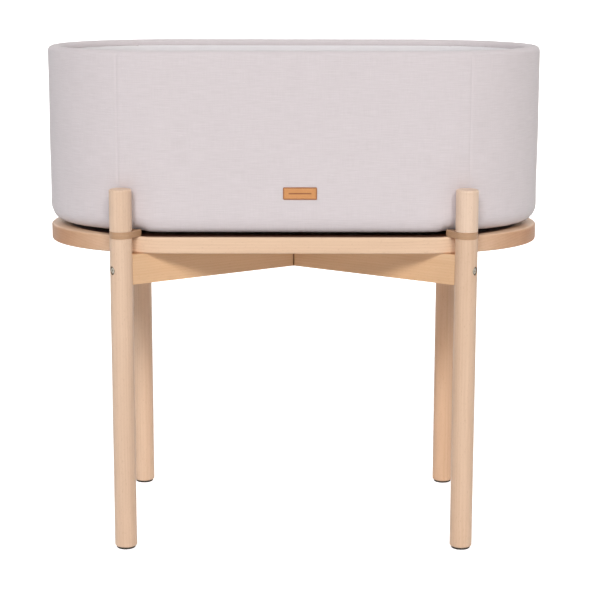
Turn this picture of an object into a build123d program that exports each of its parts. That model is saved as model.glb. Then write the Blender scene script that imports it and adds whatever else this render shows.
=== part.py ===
"""Bassinet on stand: an upholstered oval basket on a knock-down stand of round wooden legs.

Frame: +X along the length, +Y to the back, +Z up. The origin is on the floor, midway between
the four legs. All sizes are in millimetres.
"""

from build123d import *
import math
import os

os.makedirs("parts", exist_ok=True)

# ---------------------------------------------------------------- stand, driving dimensions
LEG_SPACING_X = 610.0      # leg centre to leg centre, along the length
LEG_SPACING_Y = 412.0      # leg centre to leg centre, front to back
LEG_D = 40.0               # legs, pegs and the round end of each bearer
PAD_D = 34.0
PAD_H = 4.0
DECK_TOP = 571.0           # the leg tops are flush with it
DECK_T = 30.0
DECK_LENGTH = 904.0
DECK_WIDTH = 396.0
DECK_EDGE_R = 3.5
BEARER_T = 12.0
BEARER_REACH = 38.0        # leg centre to the centre of the tongue's tip
BEARER_TIP_R = 3.0
PEG_H = 75.0
RAIL_T = 24.0
RAIL_H = 54.0
HALVING_PLAY = 0.8         # gap on each side of a rail in the other rail's cut-out
EDGE_EASE = 1.0            # small chamfer at every turned joint line
LEG_FOOT_R = 3.0
PEG_TOP_R = 3.5

# ---------------------------------------------------------------- basket, driving dimensions
BASKET_LENGTH = 904.0
BASKET_WIDTH = 395.0
RIM_TOP = 898.0
END_REACH = 230.0          # length of each half-ellipse end
REST_GAP = 0.3             # air between pieces that lift apart
CLOTH_T = 2.0
WALL_T = 24.0              # whole upholstered wall
FOAM_T = 8.0               # padding on each side of the wall shell
SHELL_T = 4.0
BOTTOM_R = 28.0            # rounded lower edge of the basket
RIM_R = 10.0               # rounding of the rim, outside and inside
BASE_FOAM_T = 14.0
BASE_BOARD_T = 12.0
RIM_FOAM_H = 10.0          # foam above the top edge of the wall shell
RIM_TURN_IN = 12.0         # how far the outer cloth turns down inside the rim
INNER_CORNER_R = 6.0
MATTRESS_GAP = 4.0
MATTRESS_T = 50.0
MATTRESS_EDGE_R = 9.0
TAG_LENGTH = 60.0
TAG_HEIGHT = 22.0
TAG_T = 1.6
TAG_OFFSET_X = 11.0
TAG_CENTRE_Z = 649.0
TAG_CORNER_R = 1.5
TAG_RULE_LENGTH = 40.0     # plain pressed line across the middle of the tag
TAG_RULE_W = 1.6
TAG_RULE_DEPTH = 0.4

# ---------------------------------------------------------------- fittings
FIT = 0.2                  # play between a fitting and its hole, on the radius
BOLT_D = 6.0
BOLT_HEAD_D = 16.0
BOLT_HEAD_H = 3.5
BOLT_SOCKET_D = 4.6        # across the corners of the hexagonal socket
BOLT_SOCKET_DEPTH = 2.4
BOLT_SEAT = 14.0           # leg centre out to the underside of the bolt head
BOLT_END = 62.0            # leg centre in to the end of the bolt
NUT_D = 10.0
NUT_L = 18.0
NUT_REACH = 54.0           # leg centre in to the barrel nut
NUT_BORE_BEYOND = 3.0      # how far the nut's hole stops short of the far face
DOWEL_D = 8.0
DOWEL_START = 6.0
DOWEL_END = 44.0
DOWEL_BELOW_BOLT = 15.0
STUD_D = 8.0
STUD_IN_WOOD = 30.0
PIN_D = 3.0
PIN_REACH = 33.0
PIN_IN_DECK = 10.0
PIN_IN_BEARER = 8.0
SCREW_D = 4.0
SCREW_HEAD_D = 9.0
SCREW_HEAD_H = 3.0
SCREW_RECESS = 24.0        # how deep the heads sit in the rails
SCREW_IN_DECK = 20.0
SCREW_RADIUS = 190.0       # from the middle of the stand, along each rail
SHELL_SCREW_D = 3.0
SHELL_SCREW_HEAD_D = 6.0
SHELL_SCREW_HEAD_H = 1.5
SHELL_SCREW_L = 22.0
SHELL_SCREW_SPAN = 180.0   # side screws stand at -1, 0 and +1 times this

# ---------------------------------------------------------------- worked out from the above
LEG_R = LEG_D / 2
HALF_X = LEG_SPACING_X / 2
HALF_Y = LEG_SPACING_Y / 2
DIAGONAL = math.hypot(HALF_X, HALF_Y)
DECK_BOTTOM = DECK_TOP - DECK_T
BEARER_TOP = DECK_TOP + BEARER_T
RAIL_BOTTOM = DECK_BOTTOM - RAIL_H
BOLT_Z = RAIL_BOTTOM + RAIL_H / 2
DOWEL_Z = BOLT_Z - DOWEL_BELOW_BOLT
BASKET_BOTTOM = BEARER_TOP + REST_GAP
BOARD_BOTTOM = BASKET_BOTTOM + CLOTH_T + BASE_FOAM_T
BOARD_TOP = BOARD_BOTTOM + BASE_BOARD_T
FLOOR_TOP = BOARD_TOP + CLOTH_T
SHELL_TOP = RIM_TOP - CLOTH_T - RIM_FOAM_H
SHELL_OUT = CLOTH_T + FOAM_T             # insets from the basket's outer face
SHELL_IN = SHELL_OUT + SHELL_T
LINING_OUT = WALL_T - CLOTH_T
TURN_IN_Z = RIM_TOP - RIM_TURN_IN
MATTRESS_INSET = WALL_T + MATTRESS_GAP
MATTRESS_BOTTOM = FLOOR_TOP + REST_GAP
OVERSHOOT = 10.0                         # cutters run this far past the faces they open

CORNERS = {
    "front_left": (-1, -1),
    "front_right": (1, -1),
    "back_left": (-1, 1),
    "back_right": (1, 1),
}


def save(builder, name):
    """Label one finished piece and write it to its own file."""
    builder.part.label = name
    export_step(builder.part, f"parts/{name}.step")


def leg_centre(corner):
    return HALF_X * corner[0], HALF_Y * corner[1]


def inward(corner):
    """Unit vector from a leg towards the middle of the stand."""
    return -HALF_X * corner[0] / DIAGONAL, -HALF_Y * corner[1] / DIAGONAL


def rail_point(corner, reach, z):
    """Point on a leg's diagonal, reach in from the leg centre."""
    x, y = leg_centre(corner)
    dx, dy = inward(corner)
    return x + dx * reach, y + dy * reach, z


def rail_plane(corner, reach, z):
    """Plane square to a leg's diagonal, facing the middle of the stand."""
    dx, dy = inward(corner)
    return Plane(origin=rail_point(corner, reach, z), x_dir=(-dy, dx, 0), z_dir=(dx, dy, 0))


def oval(length, width, inset=0.0):
    """Face with straight sides and half-ellipse ends, drawn inset from its outline."""
    straight = length / 2 - END_REACH
    reach = END_REACH - inset
    half = width / 2 - inset
    with BuildSketch(mode=Mode.PRIVATE) as outline:
        with BuildLine():
            Line((-straight, half), (straight, half))
            EllipticalCenterArc((straight, 0), reach, half, start_angle=-90, arc_size=180)
            Line((straight, -half), (-straight, -half))
            EllipticalCenterArc((-straight, 0), reach, half, start_angle=90, arc_size=180)
        make_face()
    return outline.sketch


def basket_oval(inset):
    return oval(BASKET_LENGTH, BASKET_WIDTH, inset)


# ---------------------------------------------------------------- legs, pegs, bearers and pads
for place, corner in CORNERS.items():
    centre = leg_centre(corner)

    with BuildPart() as leg:
        with BuildSketch(Plane.XY.offset(PAD_H)):
            with Locations(centre):
                Circle(LEG_R)
        extrude(amount=DECK_TOP - PAD_H)
        fillet(leg.edges().sort_by(Axis.Z)[0], LEG_FOOT_R)
        chamfer(leg.edges().sort_by(Axis.Z)[-1], EDGE_EASE)
        # bolt bore right through, with a flat seat for the head on the outer side
        with BuildSketch(rail_plane(corner, -LEG_D, BOLT_Z)):
            Circle(BOLT_D / 2 + FIT)
        extrude(amount=2 * LEG_D, mode=Mode.SUBTRACT)
        with BuildSketch(rail_plane(corner, -BOLT_SEAT, BOLT_Z)):
            Circle(BOLT_HEAD_D / 2 + FIT)
        extrude(amount=-LEG_D, mode=Mode.SUBTRACT)
        # blind holes for the alignment dowel and for the stud in the top
        with BuildSketch(rail_plane(corner, DOWEL_START, DOWEL_Z)):
            Circle(DOWEL_D / 2 + FIT)
        extrude(amount=LEG_D, mode=Mode.SUBTRACT)
        with BuildSketch(Plane.XY.offset(DECK_TOP)):
            with Locations(centre):
                Circle(STUD_D / 2 + FIT)
        extrude(amount=-STUD_IN_WOOD, mode=Mode.SUBTRACT)
    save(leg, f"leg_{place}")

    with BuildPart() as foot_pad:
        with BuildSketch():
            with Locations(centre):
                Circle(PAD_D / 2)
        extrude(amount=PAD_H)
        chamfer(foot_pad.edges().sort_by(Axis.Z)[0], EDGE_EASE)
    save(foot_pad, f"foot_pad_{place}")

    with BuildPart() as bearer:
        with BuildSketch(Plane.XY.offset(DECK_TOP)):
            with Locations(centre):
                Circle(LEG_R)
            with Locations(rail_point(corner, BEARER_REACH, 0)[:2]):
                Circle(BEARER_TIP_R)
            make_hull()
        extrude(amount=BEARER_T)
        chamfer(bearer.faces().sort_by(Axis.Z)[-1].edges(), EDGE_EASE)
        chamfer(bearer.faces().sort_by(Axis.Z)[0].edges(), EDGE_EASE)
        with BuildSketch(Plane.XY.offset(DECK_TOP)):
            with Locations(centre):
                Circle(STUD_D / 2 + FIT)
        extrude(amount=BEARER_T, mode=Mode.SUBTRACT)
        with BuildSketch(Plane.XY.offset(DECK_TOP)):
            with Locations(rail_point(corner, PIN_REACH, 0)[:2]):
                Circle(PIN_D / 2 + FIT)
        extrude(amount=PIN_IN_BEARER, mode=Mode.SUBTRACT)
    save(bearer, f"bearer_{place}")

    with BuildPart() as peg:
        with BuildSketch(Plane.XY.offset(BEARER_TOP)):
            with Locations(centre):
                Circle(LEG_R)
        extrude(amount=PEG_H)
        fillet(peg.edges().sort_by(Axis.Z)[-1], PEG_TOP_R)
        chamfer(peg.edges().sort_by(Axis.Z)[0], EDGE_EASE)
        with BuildSketch(Plane.XY.offset(BEARER_TOP)):
            with Locations(centre):
                Circle(STUD_D / 2 + FIT)
        extrude(amount=STUD_IN_WOOD, mode=Mode.SUBTRACT)
    save(peg, f"peg_{place}")

# ---------------------------------------------------------------- crossed rails
RAIL_ENDS = {
    "rail_rising": ("front_left", "back_right"),
    "rail_falling": ("back_left", "front_right"),
}
RAIL_ANGLE = math.degrees(math.atan2(HALF_Y, HALF_X))
RAIL_TURN = {"rail_rising": RAIL_ANGLE, "rail_falling": -RAIL_ANGLE}
# the rising rail is cut away above the middle, the falling one below it
HALVING_Z = {"rail_rising": RAIL_BOTTOM + RAIL_H / 2, "rail_falling": RAIL_BOTTOM}

for name, ends in RAIL_ENDS.items():
    other_turn = -RAIL_TURN[name]
    with BuildPart() as rail:
        with BuildSketch(Plane.XY.offset(RAIL_BOTTOM)):
            Rectangle(2 * DIAGONAL, RAIL_T, rotation=RAIL_TURN[name])
            # hollowed ends that fit round the legs
            with Locations([leg_centre(CORNERS[end]) for end in ends]):
                Circle(LEG_R, mode=Mode.SUBTRACT)
        extrude(amount=RAIL_H)
        # what is left beyond each leg falls away
        with BuildSketch(Plane.XY.offset(RAIL_BOTTOM)):
            with Locations([rail_point(CORNERS[end], -LEG_R, 0)[:2] for end in ends]):
                Rectangle(2 * LEG_R, 2 * LEG_D, rotation=RAIL_TURN[name])
        extrude(amount=RAIL_H, mode=Mode.SUBTRACT)
        # halving joint at the crossing
        with BuildSketch(Plane.XY.offset(HALVING_Z[name])):
            Rectangle(LEG_SPACING_Y, RAIL_T + 2 * HALVING_PLAY, rotation=other_turn)
        extrude(amount=RAIL_H / 2, mode=Mode.SUBTRACT)
        for end in ends:
            corner = CORNERS[end]
            with BuildSketch(rail_plane(corner, 0, BOLT_Z)):
                Circle(BOLT_D / 2 + FIT)
            extrude(amount=BOLT_END + FIT, mode=Mode.SUBTRACT)
            with BuildSketch(rail_plane(corner, 0, DOWEL_Z)):
                Circle(DOWEL_D / 2 + FIT)
            extrude(amount=DOWEL_END + FIT, mode=Mode.SUBTRACT)
            # the barrel nut goes in from the face turned to the back
            nut_plane = Plane(origin=rail_point(corner, NUT_REACH, BOLT_Z), z_dir=(
                -math.sin(math.radians(RAIL_TURN[name])), math.cos(math.radians(RAIL_TURN[name])), 0))
            with BuildSketch(nut_plane.offset(NUT_BORE_BEYOND - RAIL_T / 2)):
                Circle(NUT_D / 2 + FIT)
            extrude(amount=RAIL_T, mode=Mode.SUBTRACT)
        # recessed holes for the screws that come up into the deck
        screw_places = [rail_point(CORNERS[end], DIAGONAL - SCREW_RADIUS, 0)[:2] for end in ends]
        with BuildSketch(Plane.XY.offset(RAIL_BOTTOM)):
            with Locations([(0, 0)] + screw_places):
                Circle(SCREW_D / 2 + FIT)
        extrude(amount=RAIL_H, mode=Mode.SUBTRACT)
        with BuildSketch(Plane.XY.offset(RAIL_BOTTOM)):
            with Locations([(0, 0)] + screw_places):
                Circle(SCREW_HEAD_D / 2 + FIT)
        extrude(amount=SCREW_RECESS, mode=Mode.SUBTRACT)
    save(rail, name)

# ---------------------------------------------------------------- deck
SCREW_PLACES = [(0, 0)] + [
    rail_point(corner, DIAGONAL - SCREW_RADIUS, 0)[:2] for corner in CORNERS.values()]
LEG_CLEARANCE = 1.0

with BuildPart() as deck:
    with BuildSketch(Plane.XY.offset(DECK_BOTTOM)):
        add(oval(DECK_LENGTH, DECK_WIDTH))
    extrude(amount=DECK_T)
    fillet(deck.edges().filter_by(GeomType.LINE, reverse=True) + deck.edges().filter_by(Axis.X),
           DECK_EDGE_R)
    with BuildSketch(Plane.XY.offset(DECK_BOTTOM)):
        with Locations([leg_centre(corner) for corner in CORNERS.values()]):
            Circle(LEG_R + LEG_CLEARANCE)
    extrude(amount=DECK_T, mode=Mode.SUBTRACT)
    with BuildSketch(Plane.XY.offset(DECK_BOTTOM)):
        with Locations(SCREW_PLACES):
            Circle(SCREW_D / 2 + FIT)
    extrude(amount=SCREW_IN_DECK, mode=Mode.SUBTRACT)
    with BuildSketch(Plane.XY.offset(DECK_TOP)):
        with Locations([rail_point(corner, PIN_REACH, 0)[:2] for corner in CORNERS.values()]):
            Circle(PIN_D / 2 + FIT)
    extrude(amount=-PIN_IN_DECK, mode=Mode.SUBTRACT)
save(deck, "deck")

# ---------------------------------------------------------------- fittings of the stand
with BuildPart() as frame_bolts:
    for corner in CORNERS.values():
        with BuildSketch(rail_plane(corner, -BOLT_SEAT, BOLT_Z)):
            Circle(BOLT_D / 2)
        extrude(amount=BOLT_SEAT + BOLT_END)
        with BuildSketch(rail_plane(corner, -BOLT_SEAT, BOLT_Z)):
            Circle(BOLT_HEAD_D / 2)
        extrude(amount=-BOLT_HEAD_H)
        with BuildSketch(rail_plane(corner, -BOLT_SEAT - BOLT_HEAD_H, BOLT_Z)):
            RegularPolygon(BOLT_SOCKET_D / 2, 6)
        extrude(amount=BOLT_SOCKET_DEPTH, mode=Mode.SUBTRACT)
save(frame_bolts, "frame_bolts")

with BuildPart() as barrel_nuts:
    for name, ends in RAIL_ENDS.items():
        turn = math.radians(RAIL_TURN[name])
        for end in ends:
            corner = CORNERS[end]
            nut_plane = Plane(origin=rail_point(corner, NUT_REACH, BOLT_Z),
                              z_dir=(-math.sin(turn), math.cos(turn), 0))
            with BuildSketch(nut_plane.offset(NUT_BORE_BEYOND - RAIL_T / 2)):
                Circle(NUT_D / 2)
            extrude(amount=NUT_L)
            with BuildSketch(rail_plane(corner, 0, BOLT_Z)):
                Circle(BOLT_D / 2 + FIT)
            extrude(amount=NUT_REACH + NUT_D, mode=Mode.SUBTRACT)
save(barrel_nuts, "barrel_nuts")

with BuildPart() as alignment_dowels:
    for corner in CORNERS.values():
        with BuildSketch(rail_plane(corner, DOWEL_START, DOWEL_Z)):
            Circle(DOWEL_D / 2)
        extrude(amount=DOWEL_END - DOWEL_START)
save(alignment_dowels, "alignment_dowels")

with BuildPart() as peg_studs:
    with BuildSketch(Plane.XY.offset(DECK_TOP - STUD_IN_WOOD)):
        with Locations([leg_centre(corner) for corner in CORNERS.values()]):
            Circle(STUD_D / 2)
    extrude(amount=2 * STUD_IN_WOOD + BEARER_T)
save(peg_studs, "peg_studs")

with BuildPart() as bearer_pins:
    with BuildSketch(Plane.XY.offset(DECK_TOP - PIN_IN_DECK)):
        with Locations([rail_point(corner, PIN_REACH, 0)[:2] for corner in CORNERS.values()]):
            Circle(PIN_D / 2)
    extrude(amount=PIN_IN_DECK + PIN_IN_BEARER)
save(bearer_pins, "bearer_pins")

with BuildPart() as deck_screws:
    with BuildSketch(Plane.XY.offset(RAIL_BOTTOM + SCREW_RECESS - SCREW_HEAD_H)):
        with Locations(SCREW_PLACES):
            Circle(SCREW_HEAD_D / 2)
    extrude(amount=SCREW_HEAD_H)
    with BuildSketch(Plane.XY.offset(RAIL_BOTTOM + SCREW_RECESS)):
        with Locations(SCREW_PLACES):
            Circle(SCREW_D / 2)
    extrude(amount=RAIL_H - SCREW_RECESS + SCREW_IN_DECK)
save(deck_screws, "deck_screws")

# ---------------------------------------------------------------- basket
SHELL_SCREW_FACES = [
    Plane(origin=(SHELL_SCREW_SPAN * step, side * (BASKET_WIDTH / 2 - SHELL_OUT),
                  BOARD_BOTTOM + BASE_BOARD_T / 2), z_dir=(0, -side, 0))
    for side in (-1, 1) for step in (-1, 0, 1)]

with BuildPart() as base_board:
    with BuildSketch(Plane.XY.offset(BOARD_BOTTOM)):
        add(basket_oval(SHELL_IN))
    extrude(amount=BASE_BOARD_T)
    with BuildSketch(*SHELL_SCREW_FACES):
        Circle(SHELL_SCREW_D / 2 + FIT)
    extrude(amount=SHELL_SCREW_L + FIT, mode=Mode.SUBTRACT)
save(base_board, "base_board")

with BuildPart() as wall_shell:
    with BuildSketch(Plane.XY.offset(BOARD_BOTTOM)):
        add(basket_oval(SHELL_OUT))
        add(basket_oval(SHELL_IN), mode=Mode.SUBTRACT)
    extrude(amount=SHELL_TOP - BOARD_BOTTOM)
    with BuildSketch(*SHELL_SCREW_FACES):
        Circle(SHELL_SCREW_D / 2 + FIT)
    extrude(amount=SHELL_T, mode=Mode.SUBTRACT)
    with BuildSketch(*SHELL_SCREW_FACES):
        Circle(SHELL_SCREW_HEAD_D / 2 + FIT)
    extrude(amount=SHELL_SCREW_HEAD_H, mode=Mode.SUBTRACT)
save(wall_shell, "wall_shell")

with BuildPart() as base_padding:
    with BuildSketch(Plane.XY.offset(BASKET_BOTTOM + CLOTH_T)):
        add(basket_oval(CLOTH_T))
    extrude(amount=BOTTOM_R)
    fillet(base_padding.faces().sort_by(Axis.Z)[0].edges(), BOTTOM_R - CLOTH_T)
    split(bisect_by=Plane.XY.offset(BOARD_BOTTOM), keep=Keep.BOTTOM)
save(base_padding, "base_padding")

with BuildPart() as wall_padding:
    with BuildSketch(Plane.XY.offset(BASKET_BOTTOM + CLOTH_T)):
        add(basket_oval(CLOTH_T))
    extrude(amount=RIM_TOP - BASKET_BOTTOM - 2 * CLOTH_T)
    fillet(wall_padding.faces().sort_by(Axis.Z)[0].edges(), BOTTOM_R - CLOTH_T)
    with BuildSketch(Plane.XY.offset(BOARD_BOTTOM)):
        add(basket_oval(SHELL_OUT))
    extrude(amount=SHELL_TOP - BOARD_BOTTOM, mode=Mode.SUBTRACT)
    with BuildSketch(Plane.XY.offset(SHELL_TOP)):
        add(basket_oval(LINING_OUT))
    extrude(amount=RIM_FOAM_H, mode=Mode.SUBTRACT)
    fillet(wall_padding.faces().sort_by(Axis.Z)[-1].edges(), RIM_R - CLOTH_T)
    split(bisect_by=Plane.XY.offset(BOARD_BOTTOM), keep=Keep.TOP)
save(wall_padding, "wall_padding")

with BuildPart() as inner_padding:
    with BuildSketch(Plane.XY.offset(BOARD_TOP)):
        add(basket_oval(SHELL_IN))
        add(basket_oval(LINING_OUT), mode=Mode.SUBTRACT)
    extrude(amount=SHELL_TOP - BOARD_TOP)
save(inner_padding, "inner_padding")

with BuildPart() as lining:
    with BuildSketch(Plane.XY.offset(BOARD_TOP)):
        add(basket_oval(LINING_OUT))
    extrude(amount=TURN_IN_Z - BOARD_TOP)
    with BuildSketch(Plane.XY.offset(FLOOR_TOP)):
        add(basket_oval(WALL_T))
    extrude(amount=TURN_IN_Z - FLOOR_TOP, mode=Mode.SUBTRACT)
    fillet(lining.faces().filter_by(Plane.XY).sort_by(Axis.Z)[1].edges(), INNER_CORNER_R)
save(lining, "lining")

with BuildPart() as outer_cover:
    with BuildSketch(Plane.XY.offset(BASKET_BOTTOM)):
        add(basket_oval(0))
    extrude(amount=RIM_TOP - BASKET_BOTTOM)
    fillet(outer_cover.faces().sort_by(Axis.Z)[0].edges(), BOTTOM_R)
    with BuildSketch(Plane.XY.offset(FLOOR_TOP)):
        add(basket_oval(WALL_T))
    extrude(amount=RIM_TOP - FLOOR_TOP, mode=Mode.SUBTRACT)
    fillet(outer_cover.faces().sort_by(Axis.Z)[-1].edges(), RIM_R)
    # the room inside the cloth for padding, shell, board and lining
    with BuildPart(mode=Mode.PRIVATE) as inside:
        with BuildSketch(Plane.XY.offset(BASKET_BOTTOM + CLOTH_T)):
            add(basket_oval(CLOTH_T))
        extrude(amount=RIM_TOP - BASKET_BOTTOM - 2 * CLOTH_T)
        fillet(inside.faces().sort_by(Axis.Z)[0].edges(), BOTTOM_R - CLOTH_T)
        with BuildSketch(Plane.XY.offset(TURN_IN_Z)):
            add(basket_oval(LINING_OUT))
        extrude(amount=RIM_TURN_IN, mode=Mode.SUBTRACT)
        fillet(inside.faces().sort_by(Axis.Z)[-1].edges(), RIM_R - CLOTH_T)
    add(inside.part, mode=Mode.SUBTRACT)
save(outer_cover, "outer_cover")

with BuildPart() as shell_screws:
    with BuildSketch(*SHELL_SCREW_FACES):
        Circle(SHELL_SCREW_HEAD_D / 2)
    extrude(amount=SHELL_SCREW_HEAD_H)
    with BuildSketch(*SHELL_SCREW_FACES):
        Circle(SHELL_SCREW_D / 2)
    extrude(amount=SHELL_SCREW_L)
save(shell_screws, "shell_screws")

TAG_PLANE = Plane(origin=(TAG_OFFSET_X, -BASKET_WIDTH / 2, TAG_CENTRE_Z), x_dir=(1, 0, 0), z_dir=(0, -1, 0))
with BuildPart() as leather_tag:
    with BuildSketch(TAG_PLANE):
        RectangleRounded(TAG_LENGTH, TAG_HEIGHT, TAG_CORNER_R)
    extrude(amount=TAG_T)
    with BuildSketch(TAG_PLANE.offset(TAG_T)):
        Rectangle(TAG_RULE_LENGTH, TAG_RULE_W)
    extrude(amount=-TAG_RULE_DEPTH, mode=Mode.SUBTRACT)
save(leather_tag, "leather_tag")

# ---------------------------------------------------------------- mattress
with BuildPart() as mattress_core:
    with BuildSketch(Plane.XY.offset(MATTRESS_BOTTOM + CLOTH_T)):
        add(basket_oval(MATTRESS_INSET + CLOTH_T))
    extrude(amount=MATTRESS_T - 2 * CLOTH_T)
    fillet(mattress_core.faces().sort_by(Axis.Z)[0].edges(), MATTRESS_EDGE_R - CLOTH_T)
    fillet(mattress_core.faces().sort_by(Axis.Z)[-1].edges(), MATTRESS_EDGE_R - CLOTH_T)
save(mattress_core, "mattress_core")

with BuildPart() as mattress_cover:
    with BuildSketch(Plane.XY.offset(MATTRESS_BOTTOM)):
        add(basket_oval(MATTRESS_INSET))
    extrude(amount=MATTRESS_T)
    fillet(mattress_cover.faces().sort_by(Axis.Z)[0].edges(), MATTRESS_EDGE_R)
    fillet(mattress_cover.faces().sort_by(Axis.Z)[-1].edges(), MATTRESS_EDGE_R)
    add(mattress_core.part, mode=Mode.SUBTRACT)
save(mattress_cover, "mattress_cover")
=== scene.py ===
"""Looks of the bassinet on stand: cloth, lining, mattress, tag, wood and metal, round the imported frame."""

import math

import bmesh
import bpy
import numpy as np
from mathutils import Euler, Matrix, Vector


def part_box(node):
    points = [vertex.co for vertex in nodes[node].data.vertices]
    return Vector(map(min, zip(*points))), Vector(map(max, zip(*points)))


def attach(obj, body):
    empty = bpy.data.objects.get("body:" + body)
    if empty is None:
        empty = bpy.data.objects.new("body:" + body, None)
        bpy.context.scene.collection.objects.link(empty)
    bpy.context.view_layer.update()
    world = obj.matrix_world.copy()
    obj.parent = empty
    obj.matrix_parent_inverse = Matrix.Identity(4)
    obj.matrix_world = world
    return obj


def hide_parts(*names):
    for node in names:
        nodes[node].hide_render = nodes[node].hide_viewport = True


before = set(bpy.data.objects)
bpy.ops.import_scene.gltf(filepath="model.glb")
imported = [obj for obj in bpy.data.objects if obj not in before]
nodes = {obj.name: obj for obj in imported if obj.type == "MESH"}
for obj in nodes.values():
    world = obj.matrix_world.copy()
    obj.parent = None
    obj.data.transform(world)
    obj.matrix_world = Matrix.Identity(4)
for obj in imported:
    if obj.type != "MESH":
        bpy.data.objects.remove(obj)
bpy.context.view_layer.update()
MM = 0.001

# ---------------------------------------------------------------- places read from the frame
cover_low, cover_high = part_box("outer_cover")
lining_low, lining_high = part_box("lining")
mattress_low, mattress_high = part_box("mattress_cover")
tag_low, tag_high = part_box("leather_tag")
peg_low, peg_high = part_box("peg_front_right")
bolts_low, bolts_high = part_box("frame_bolts")
HALF_LENGTH = cover_high.x
HALF_WIDTH = cover_high.y
tag_middle = (tag_low + tag_high) / 2
TAG_HALF_X = (tag_high.x - tag_low.x) / 2
TAG_HALF_Z = (tag_high.z - tag_low.z) / 2
LEG_X = (peg_low.x + peg_high.x) / 2
LEG_Y = -(peg_low.y + peg_high.y) / 2
LEG_R = (peg_high.x - peg_low.x) / 2
PEG_TOP = peg_high.z
LINING_INSET = HALF_LENGTH - lining_high.x
MATTRESS_INSET = HALF_LENGTH - mattress_high.x

# ---------------------------------------------------------------- shape of the basket
END_REACH = 230 * MM          # each half-ellipse end
BOTTOM_R = 28 * MM
LIP_R = 17 * MM               # how far the rounded lower edge runs inward along the straight sides
RIM_R = 10 * MM
TONGUE_REACH = 38 * MM        # leg centre to the tip of the bearer tongue under the basket
WALL_T = 24 * MM
TURN_IN = 12 * MM             # outer cloth turned down inside the rim
CLOTH_T = 1.4 * MM
LINING_T = 1.0 * MM
SEAM_X = 311 * MM             # upright seams, just outside each peg's middle
SAG = 5.5 * MM                # the padded lower edge hangs this far below the board

# ---------------------------------------------------------------- columns in a quarter of each oval
COVER_COLUMNS = 108
LINING_COLUMNS = 96
STITCH_COLUMNS = 400
PAD_COLUMNS = 60
PIPING_COLUMNS = 90

# ---------------------------------------------------------------- tag and mattress
TAG_BORDER = 2.3 * MM         # from the tag's rim to its line of stitches
TAG_RULE_HALF = 19 * MM       # half the length of the plain rule pressed into the tag
TAG_CORNER = 2.0 * MM
CHANNEL_PITCH = 70 * MM       # between the mattress's quilting channels, along its length
CHANNEL_REACH = 7 * MM
CHANNEL_DEPTH = 3.0 * MM
PAD_EDGE_R = 8 * MM           # rounding of the mattress, and its pipings' distance from each face
PIPING_R = 2.0 * MM
SWELL_CAP = 3 * MM            # the furthest that air pressure moves the mattress cloth


# ================================================================ meshes
def oval_ring(half_length, half_width, quarter_columns, crowd_x=None):
    """Points round an oval in order from the middle of the back, by way of the right end.

    A quarter is a straight run and then a quarter ellipse: x = straight + reach sin(a),
    y = half_width cos(a). Columns are spaced evenly by distance run, or crowded near x = crowd_x
    by a bell-shaped weight. The other quarters are its mirror images. Returns the places, the
    outward direction (sin a, cos a) along which insets are measured, and the distance run.
    """
    straight = half_length - END_REACH
    samples = 1200
    crowding, crowd_reach = 5, 7 * MM
    turn = np.linspace(0, math.pi / 2, 2 * samples)
    run = np.linspace(0, straight, samples)[:-1]
    x = np.concatenate([run, straight + END_REACH * np.sin(turn)])
    y = np.concatenate([np.full(run.size, half_width), half_width * np.cos(turn)])
    out_x = np.concatenate([np.zeros(run.size), np.sin(turn)])
    out_y = np.concatenate([np.ones(run.size), np.cos(turn)])
    step = np.hypot(np.diff(x), np.diff(y))
    weight = np.ones(step.size)
    if crowd_x is not None:
        weight += crowding * bell(x[1:], crowd_x, crowd_reach)
    spread = np.concatenate([[0], np.cumsum(step * weight)])
    wanted = np.linspace(0, spread[-1], quarter_columns + 1)
    quarter = np.stack([np.interp(wanted, spread, v) for v in (x, y, out_x, out_y)], axis=1)
    flips = [(1, 1), (1, -1), (-1, -1), (-1, 1)]
    turns = []
    for order, (fx, fy) in enumerate(flips):
        part = quarter[::-1] if order % 2 else quarter
        turns.append(part[:-1] * np.array([fx, fy, fx, fy]))
    ring = np.concatenate(turns)
    places, outward = ring[:, :2], ring[:, 2:]
    closed = np.concatenate([places, places[:1]])
    return places, outward, distance_along(*closed.T)


def carry(places, outward, inset, height):
    """Carries a profile round a ring: each point is place - inset * outward, at its height."""
    flat = places[None, :, :] - inset[..., None] * outward[None, :, :]
    return np.concatenate([flat, np.broadcast_to(height, inset.shape)[..., None]], axis=2)


def grid_piece(name, points, uv, wrap=True, flip=False):
    """A mesh over a grid of points, rows by columns; wrap joins the last column to the first.

    uv holds one pair for each row and column, with one more column than points has when the
    grid wraps, so the pattern runs on to the full length at the join.
    """
    rows, columns = points.shape[:2]
    spans = columns if wrap else columns - 1
    row, column = np.meshgrid(np.arange(rows - 1), np.arange(spans), indexing="ij")
    corners = [(row, column), (row, column + 1), (row + 1, column + 1), (row + 1, column)]
    if flip:
        corners = corners[::-1]
    faces = np.stack([r * columns + c % columns for r, c in corners], axis=-1).reshape(-1, 4)
    loops_uv = np.stack([uv[r, c] for r, c in corners], axis=2).reshape(-1, 2)
    mesh = bpy.data.meshes.new(name)
    mesh.from_pydata(points.reshape(-1, 3), [], faces.tolist())
    layer = mesh.uv_layers.new(name="cloth")
    layer.data.foreach_set("uv", loops_uv.astype(np.float32).ravel())
    mesh.shade_smooth()
    return new_object(name, mesh)


def new_object(name, data):
    made = bpy.data.objects.new(name, data)
    bpy.context.scene.collection.objects.link(made)
    return made


def distance_along(first, second):
    """Distance run along a row of points, given by its two coordinates: the sum of the gaps so far."""
    return np.concatenate([[0], np.cumsum(np.hypot(np.diff(first), np.diff(second)))])


def cloth_map(run, along):
    """The distance round and the distance along the profile, in metres, for each grid point."""
    return np.stack(np.meshgrid(run, along, indexing="xy"), axis=2)


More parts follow.
